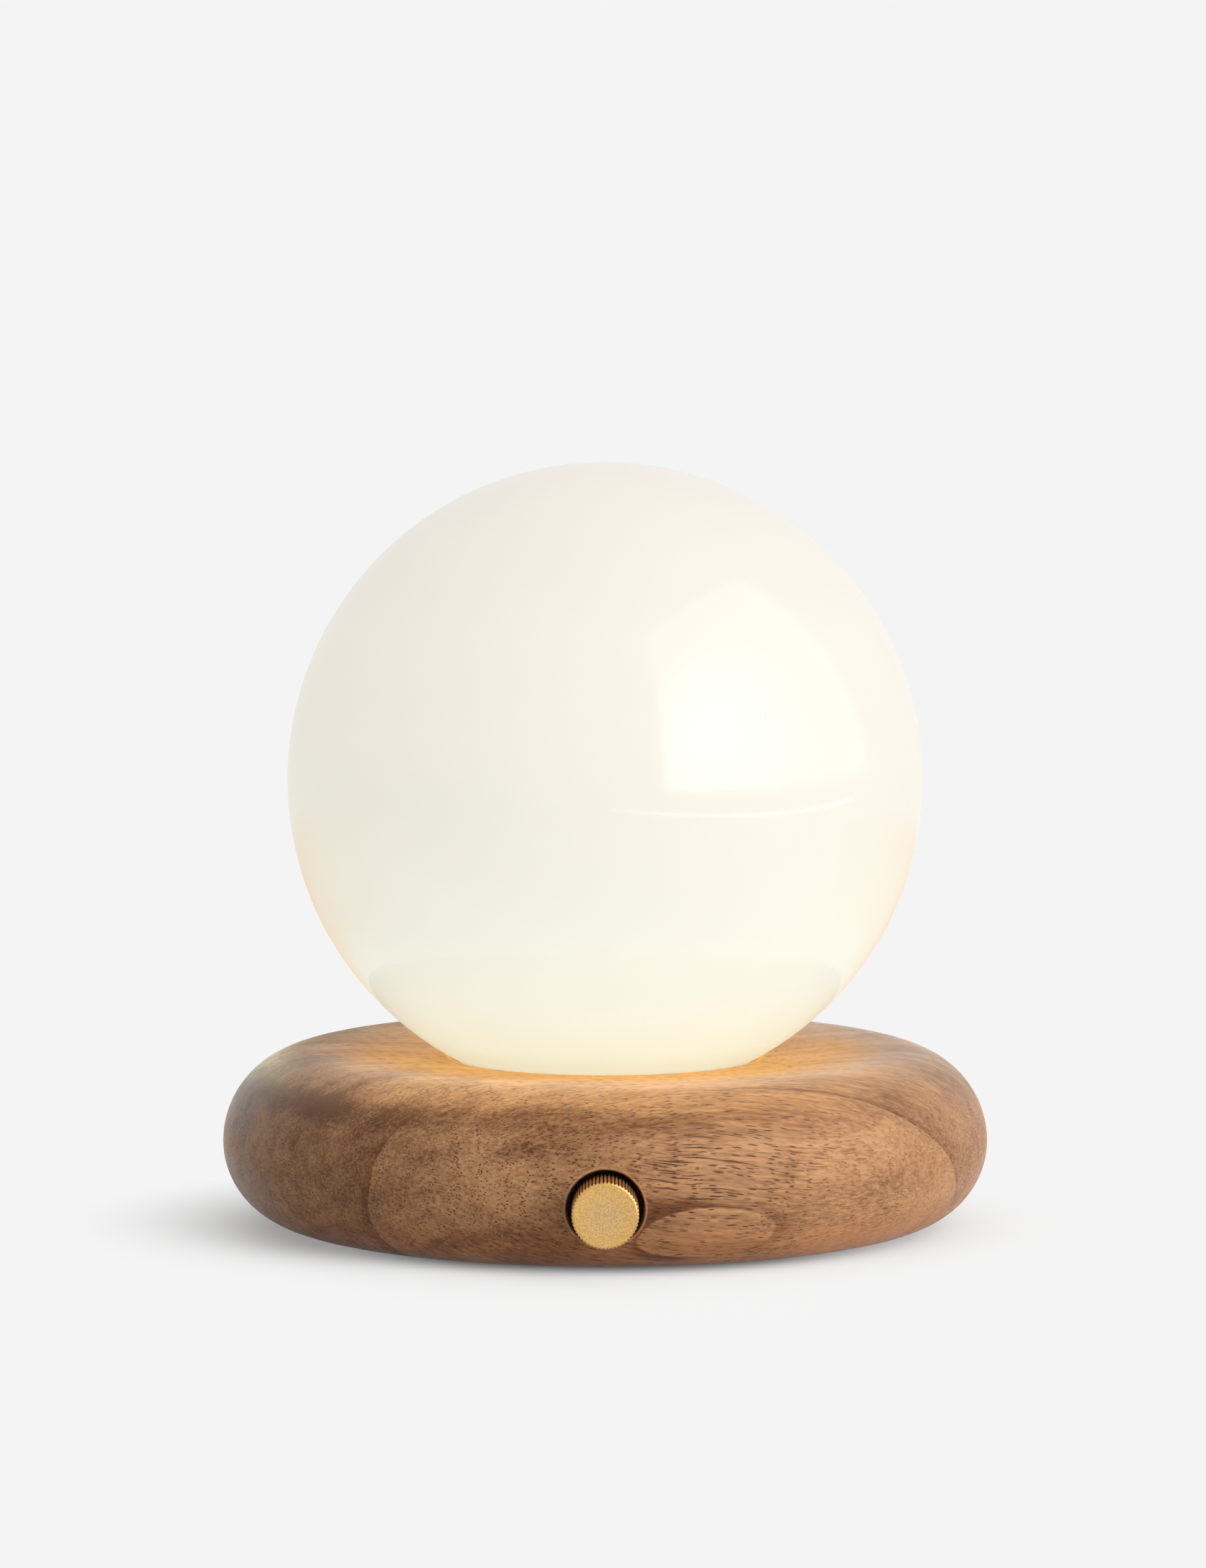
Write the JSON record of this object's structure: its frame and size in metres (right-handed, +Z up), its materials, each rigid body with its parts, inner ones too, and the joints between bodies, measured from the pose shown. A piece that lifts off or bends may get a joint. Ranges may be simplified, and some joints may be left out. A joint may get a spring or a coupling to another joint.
{
  "type": "cordless table lamp",
  "caption": "Rechargeable table lamp: an opal glass globe twist-locked onto a round bullnosed walnut base, with a knurled brass dimmer knob in the front rim.",
  "frame": {"origin": "centre of the foot pad's underside, on the table", "axes": "+Z up along the axis of globe and base, -Y towards the knob, +X to the right as seen from the knob's side"},
  "size_m": [0.181, 0.1908, 0.1809],
  "materials": {
    "walnut": "satin oiled walnut, grain across the front",
    "opal_glass": "glossy opal white, light shows through",
    "brass": "satin brass, straight knurl",
    "black_steel": "black powder coat",
    "steel": "zinc plated",
    "aluminium": "turned",
    "foot_rubber": "matte non-slip rubber",
    "silicone": "translucent white silicone",
    "black_plastic": "moulded, matte",
    "white_plastic": "moulded, matte",
    "battery_wrap": "plastic sleeve on a metal can",
    "foam": "closed-cell foam",
    "green_board": "solder resist",
    "white_board": "white solder resist",
    "led_phosphor": "phosphor in silicone",
    "clear_plastic": "polished clear acrylic",
    "red_wire": "insulated wire",
    "black_wire": "insulated wire",
    "grey_wire": "insulated wire"
  },
  "bodies": {
    "base": {"wood_base": "walnut", "base_plate": "black_steel", "base_plate_screws": "steel", "cradle_screws": "steel", "board_screws": "steel", "lock_ring_screws": "steel", "led_screws": "steel", "cell_strips": "steel", "usb_socket": "steel", "dimmer_body": "steel", "dimmer_washer": "steel", "dimmer_nut": "steel", "dimmer_pins": "steel", "led_plate": "aluminium", "foot_pad": "foot_rubber", "globe_gasket": "silicone", "battery_cradle": "black_plastic", "usb_bezel": "black_plastic", "board_spacers": "black_plastic", "board_chips": "black_plastic", "lock_ring": "white_plastic", "board_connectors": "white_plastic", "battery_cell_front": "battery_wrap", "battery_cell_rear": "battery_wrap", "battery_foam": "foam", "control_board": "green_board", "led_board": "white_board", "led_chips": "led_phosphor", "charge_light_pipe": "clear_plastic", "led_lead_red": "red_wire", "battery_lead_red": "red_wire", "led_lead_black": "black_wire", "battery_lead_black": "black_wire", "dimmer_leads": "grey_wire"},
    "knob": {"dimmer_knob": "brass", "knob_grub_screw": "steel", "dimmer_shaft": "aluminium"},
    "globe": {"glass_globe": "opal_glass", "globe_bond": "silicone", "globe_collar": "aluminium"}
  },
  "joints": [
    {"name": "knob_turn", "type": "hinge", "parent": "base", "child": "knob", "pos_m": [0, -0.0863, 0.0168], "axis": [0, 1, 0], "range_deg": [-150, 150]},
    {"name": "globe_twist", "type": "hinge", "parent": "base", "child": "globe", "pos_m": [0, 0, 0.0327], "axis": [0, 0, 1], "range_deg": [0, 30]}
  ]
}
